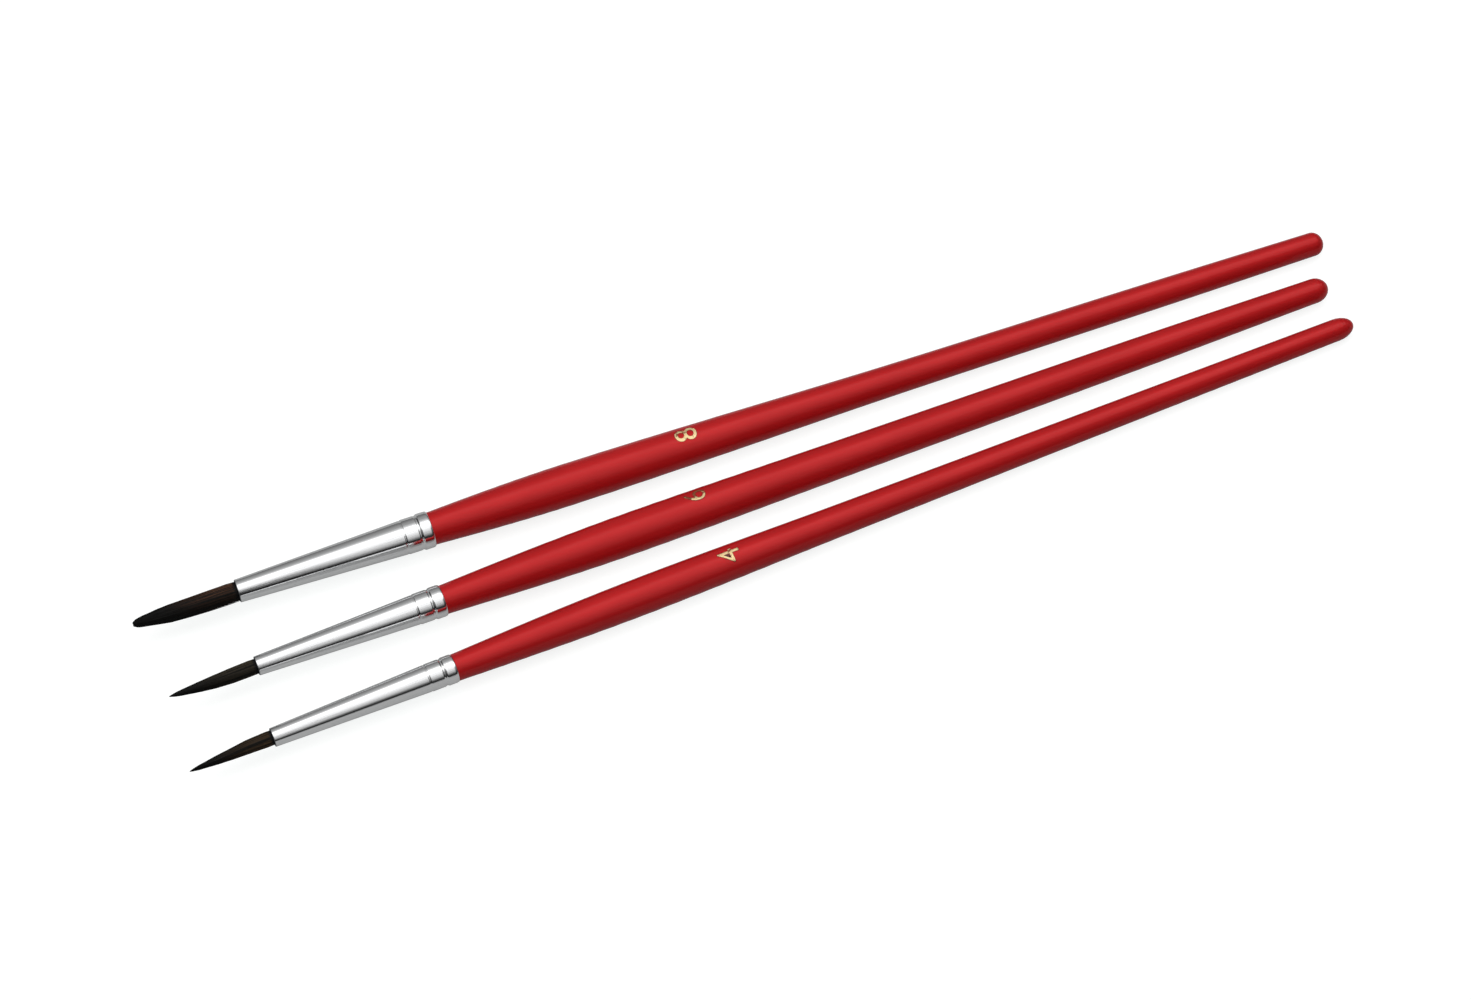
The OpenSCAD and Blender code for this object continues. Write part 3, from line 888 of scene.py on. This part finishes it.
def flat_digit(size, extra):
    """The digit as a flat mesh of small cells, centred at the origin."""
    bpy.ops.object.select_all(action="DESELECT")
    bpy.ops.object.text_add()
    piece = bpy.context.object
    piece.data.body = str(size)
    piece.data.size = numeral_height / digit_height
    piece.data.offset = extra
    bpy.ops.object.convert(target="MESH")
    piece = bpy.context.object
    points = np.array([v.co for v in piece.data.vertices])
    low, high = points.min(0), points.max(0)
    wanted = np.array([numeral_width[size], numeral_height, 1])
    wanted[:2] += 2 * extra
    span = np.maximum(high - low, 1e-9)
    span[2], middle = 1, (low + high) / 2
    points = (points - middle) * wanted / span
    piece.data.vertices.foreach_set("co", points.ravel())
    piece.data.update()
    enter_edit()
    bpy.ops.mesh.remove_doubles(threshold=0.001 * mm)
    for axis in (0, 1):
        normal = [0, 0, 0]
        normal[axis] = 1
        for cut in np.arange(-cell_cuts, cell_cuts + 1) * cell:
            bpy.ops.mesh.select_all(action="SELECT")
            bpy.ops.mesh.bisect(
                plane_co=[cut * part for part in normal], plane_no=normal)
    leave_edit()
    return piece


def wrap(piece, size, lift):
    """Bends a flat digit round its handle."""
    from_tip, up_turn = numeral_place[size]
    tuft = tufts[size]
    down = tuft.down
    facing = np.array((down[1], -down[0]))
    lens = (line[size].inverted().to_3x3() @ to_camera).yz
    if facing @ np.array(lens) < 0:
        facing = -facing
    points = np.array([v.co for v in piece.data.vertices])
    x = tuft.tip + from_tip * mm - points[:, 1]
    radius = handle_radius(size, x)
    turn = math.radians(up_turn) + points[:, 0] / radius
    radial = (np.cos(turn)[:, None] * facing
              - np.sin(turn)[:, None] * down)
    points = np.column_stack((x, radial * (
        radius + lift + points[:, 2])[:, None]))
    piece.data.vertices.foreach_set("co", points.ravel())
    piece.data.transform(line[size])


def thicken(piece, thickness):
    """Gives a flat shape its thickness upward."""
    bpy.context.view_layer.objects.active = piece
    solid = piece.modifiers.new("thickness", "SOLIDIFY")
    solid.thickness, solid.offset = thickness, 1
    bpy.ops.object.modifier_apply(modifier=solid.name)


def make_numeral(size):
    """The dark edge and the foil of one numeral."""
    made = []
    for kind, extra, lift in (("dark_edge", edge_spread, edge_lift),
                              ("foil", 0, foil_lift)):
        piece = flat_digit(size, extra + stroke_spread[size])
        piece.name = piece.data.name = f"numeral_{kind}_{size}"
        thicken(piece, foil_thickness)
        wrap(piece, size, lift)
        made.append(piece)
    return made


numerals = {size: make_numeral(size) for size in sizes}
for pair in numerals.values():
    print(", ".join(f"{piece.name}: {len(piece.data.polygons)} faces"
                    for piece in pair))

# %% [markdown]
# Foil is real metal on a coloured film. It catches the light in a creamy
# gold, and it wears: where the stamp pressed less, toward the top of the
# handle, the foil is patchy and a dark brown shows through.

# %% Foil and scorched lacquer
foil_wear = {8: (0.38, 0.48), 6: (0.42, 0.64), 4: (0.38, 0.44)}


def make_foil(size):
    """Creamy gold with worn patches."""
    material, tree = start_material(f"gold_foil_{size}")
    place = brush_place(tree, size)
    patches = noise(tree, place, (1100, 1500, 1500), detail=4, roughness=0.6)
    up = -tufts[size].down
    height = add(tree, "ShaderNodeVectorMath", {0: place, 1: (0, *up)},
                 operation="DOT_PRODUCT").outputs["Value"]
    near, far = foil_wear[size]
    worn = spread(tree, height, 1.2 * mm, 2.6 * mm, near, far)
    kept = spread(tree, maths(tree, "SUBTRACT", patches, worn),
                  -0.06, 0.05, 0, 1)
    fine = noise(tree, place, (5000, 5000, 5000), detail=2)
    gold = ramp(tree, fine, (0.3, (0.92, 0.65, 0.29)),
                (0.7, (1.0, 0.80, 0.46)))
    rough = add(tree, "ShaderNodeMix", {0: kept, 2: 0.6, 3: 0.42})
    shiny = maths(tree, "MULTIPLY", kept, 0.5)
    surface(tree, {"Base Color": blend(tree, kept, (0.26, 0.06, 0.015), gold),
                   "Metallic": shiny, "Roughness": rough.outputs[0],
                   "Normal": relief(tree, fine, 0.01 * mm, 0.4)})
    return material


def make_scorch(size):
    """Dark brown edge round the foil."""
    material, tree = start_material(f"dark_edge_lacquer_{size}")
    stain = noise(tree, brush_place(tree, size), (1800, 1800, 1800))
    colour = ramp(tree, stain, (0.35, (0.10, 0.012, 0.008)),
                  (0.65, (0.28, 0.010, 0.008)))
    surface(tree, {"Base Color": colour, "Roughness": spread(
        tree, stain, 0.3, 0.7, 0.2, 0.35)})
    return material


for size, (dark_edge, foil) in numerals.items():
    for piece, finish, slot in (
            (dark_edge, make_scorch(size), "red_lacquer"),
            (foil, make_foil(size), "gold_foil")):
        piece.data.materials.clear()
        piece.data.materials.append(finish)
        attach(piece, f"brush_{size}")

# %% [markdown]
# The finish may not make the brushes bigger than their solids. The box of
# the solids and the box of the dressed model are kept side by side, so the
# two can be compared.

# %% Sizes of the finished model
dressed_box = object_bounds()
for name, corners in (("solids", solid_box), ("dressed", dressed_box)):
    print(name, [round((high - low) / mm, 2) for low, high in zip(*corners)])
